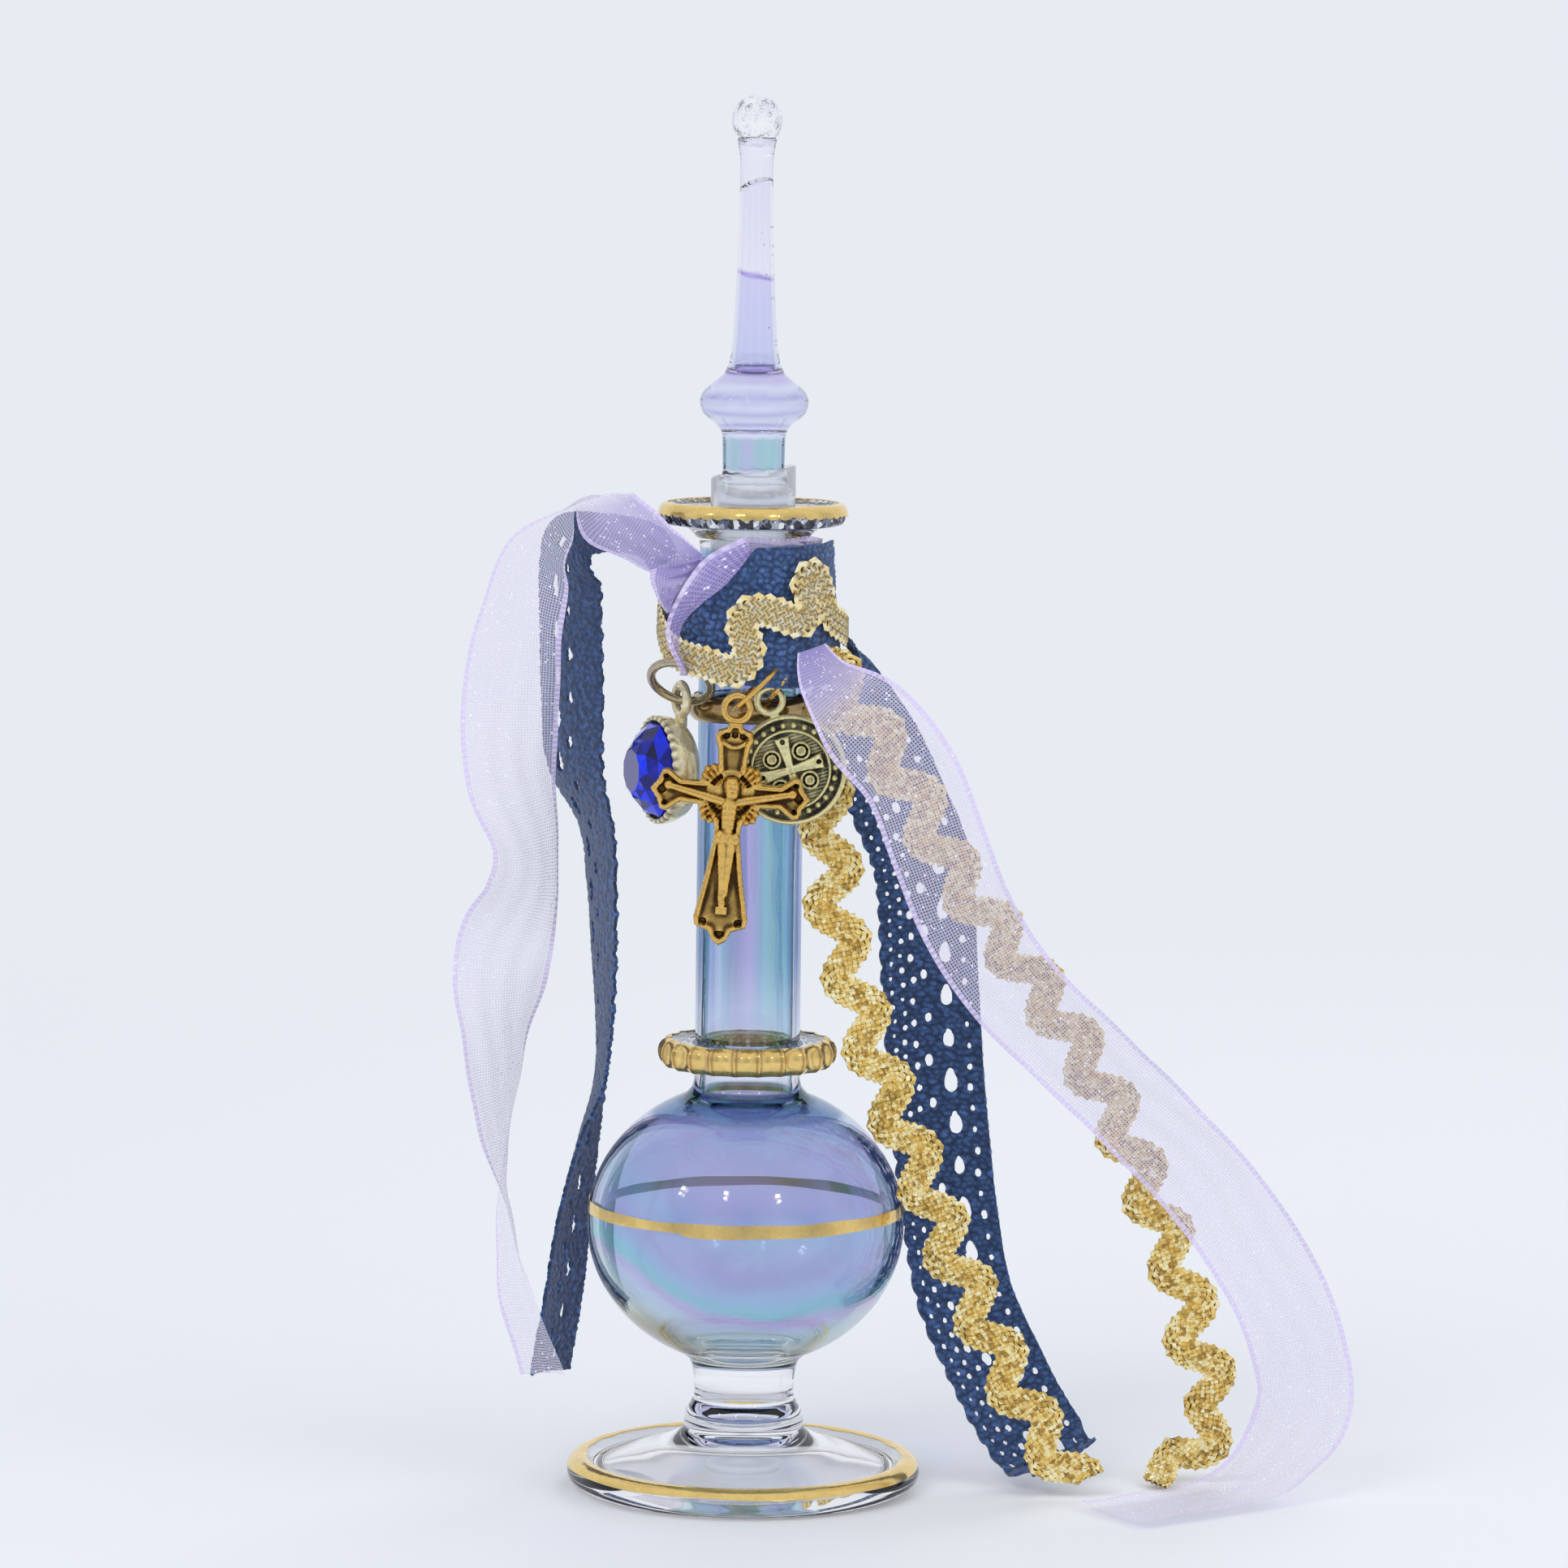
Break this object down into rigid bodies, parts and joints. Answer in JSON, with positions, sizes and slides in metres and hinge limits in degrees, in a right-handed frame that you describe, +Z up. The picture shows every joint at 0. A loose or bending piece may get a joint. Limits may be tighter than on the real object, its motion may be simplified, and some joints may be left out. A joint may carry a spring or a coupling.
{
  "type": "holy water bottle",
  "caption": "Slender blown-glass holy water bottle on a round foot, gilt bands, lifting stopper, neck tied with organza, lace and ric-rac, and swinging charms.",
  "frame": {"origin": "centre of the ring the foot stands on", "axes": "+Z up the bottle's axis, -Y towards the side the charms hang on, +X to the viewer's right"},
  "size_m": [0.1121, 0.0454, 0.1717],
  "materials": {
    "glass": "iridescent lilac blown glass",
    "gilding": "hand-painted bright gold",
    "sleeve_plastic": "clear soft tubing",
    "organza": "sheer lilac organza with stitched edges",
    "lace": "navy crochet lace",
    "ricrac": "gold metallic braid",
    "antique_gold": "antiqued gold casting",
    "antique_pale": "antiqued pale gold casting",
    "gold_wire": "plated wire",
    "blue_stone": "faceted foil-backed cobalt stone"
  },
  "bodies": {
    "bottle": {"foot": "glass", "globe": "glass", "neck_tube": "glass", "lower_collar": "glass", "upper_collar": "glass", "lip": "glass", "foot_gilding": "gilding", "globe_gilt_line": "gilding", "lower_collar_gilding": "gilding", "upper_collar_gilding": "gilding", "lip_gilding": "gilding", "ribbon_band": "organza", "lace_band": "lace", "ricrac_band": "ricrac", "ribbon_knot": "organza", "ribbon_loop": "organza", "ribbon_hanger": "organza", "ribbon_tail_left": "organza", "ribbon_tail_right": "organza", "lace_tail_left": "lace", "lace_tail_right": "lace", "ricrac_tail_front": "ricrac", "ricrac_tail_back": "ricrac"},
    "sleeve": {"sleeve": "sleeve_plastic"},
    "stopper": {"stopper": "glass", "finial_ball": "glass"},
    "gem_ring": {"gem_jump_ring": "antique_pale"},
    "gem": {"gem_cup": "antique_pale", "gem_stone": "blue_stone"},
    "crucifix_ring": {"crucifix_jump_ring": "gold_wire"},
    "crucifix": {"crucifix": "antique_gold"},
    "medal_ring": {"medal_jump_ring": "gold_wire"},
    "medal": {"medal": "antique_pale"}
  },
  "joints": [
    {"name": "sleeve_turn", "type": "hinge", "parent": "bottle", "child": "sleeve", "pos_m": [0, 0, 0.1166], "axis": [0, 0, 1], "continuous": true},
    {"name": "stopper_lift", "type": "slide", "parent": "sleeve", "child": "stopper", "axis": [0, 0, 1], "range_m": [0, 0.045]},
    {"name": "gem_ring_swing", "type": "hinge", "parent": "bottle", "child": "gem_ring", "pos_m": [-0.00805, -0.00925, 0.10195], "axis": [0.2271, 0.6522, 0.7232], "range_deg": [0, 12]},
    {"name": "gem_swing", "type": "hinge", "parent": "gem_ring", "child": "gem", "pos_m": [-0.0085, -0.00506, 0.0983], "axis": [0.9542, 0, -0.2991], "range_deg": [0, 12]},
    {"name": "crucifix_ring_swing", "type": "hinge", "parent": "bottle", "child": "crucifix_ring", "pos_m": [0.002, -0.0101, 0.1013], "axis": [-1, 0, 0], "range_deg": [0, 10]},
    {"name": "crucifix_swing", "type": "hinge", "parent": "crucifix_ring", "child": "crucifix", "pos_m": [-0.0016, -0.01355, 0.0981], "axis": [0, -1, 0], "range_deg": [-9, 9]},
    {"name": "medal_ring_swing", "type": "hinge", "parent": "bottle", "child": "medal_ring", "pos_m": [0.0043, -0.00935, 0.1012], "axis": [-1, 0, 0], "range_deg": [0, 3]},
    {"name": "medal_swing", "type": "hinge", "parent": "medal_ring", "child": "medal", "pos_m": [0.0024, -0.0102, 0.0989], "axis": [0, -1, 0], "range_deg": [-6, 5]}
  ]
}
